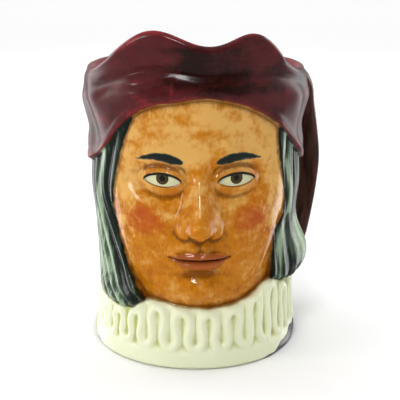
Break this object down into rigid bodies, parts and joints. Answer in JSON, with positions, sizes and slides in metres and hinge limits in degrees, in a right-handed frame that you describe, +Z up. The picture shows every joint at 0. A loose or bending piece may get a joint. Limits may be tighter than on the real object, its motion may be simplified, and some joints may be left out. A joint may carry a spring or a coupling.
{
  "type": "character jug",
  "caption": "Glazed earthenware jug shaped as a calm head in a soft cap, with long hair, a pleated ruff, a pouring lip and a strap handle.",
  "frame": {"origin": "middle of the flat underside, on the surface that the jug stands on", "axes": "+Z up, the face looks along -Y, +X towards the jug's own left ear, which is the right side of the picture"},
  "size_m": [0.0803, 0.0843, 0.102],
  "materials": {
    "glazed_earthenware": "clear gloss glaze over hand painted colours: maroon cap and handle, tan skin, grey-green hair, cream ruff and inside, dark coat"
  },
  "bodies": {
    "root": {"character_jug": "glazed_earthenware"}
  },
  "joints": []
}
